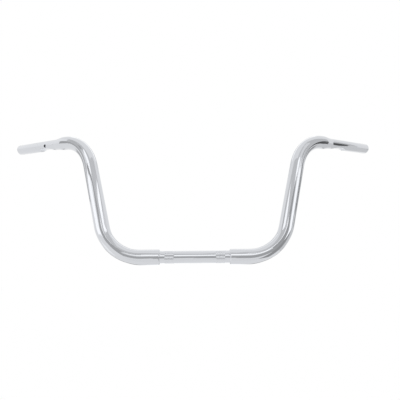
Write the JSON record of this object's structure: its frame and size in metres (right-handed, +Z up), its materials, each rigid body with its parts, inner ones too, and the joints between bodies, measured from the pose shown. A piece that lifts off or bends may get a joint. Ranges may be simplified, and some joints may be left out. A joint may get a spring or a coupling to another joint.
{
  "type": "ape hanger handlebar",
  "caption": "Tall chromed motorbike handlebar: a thin clamp seat, fat tubes that rise, lean back and turn out to thinner hollow ends for the grips and hand controls.",
  "frame": {"origin": "middle of the clamp seat, on its axis", "axes": "+X along the clamp seat towards the rider's left hand, +Y towards the rider, +Z up, as the bar stands on the bike"},
  "size_m": [0.9464, 0.2663, 0.2884],
  "materials": {
    "chrome": "polished chrome plate"
  },
  "bodies": {
    "root": {"handlebar": "chrome"}
  },
  "joints": []
}
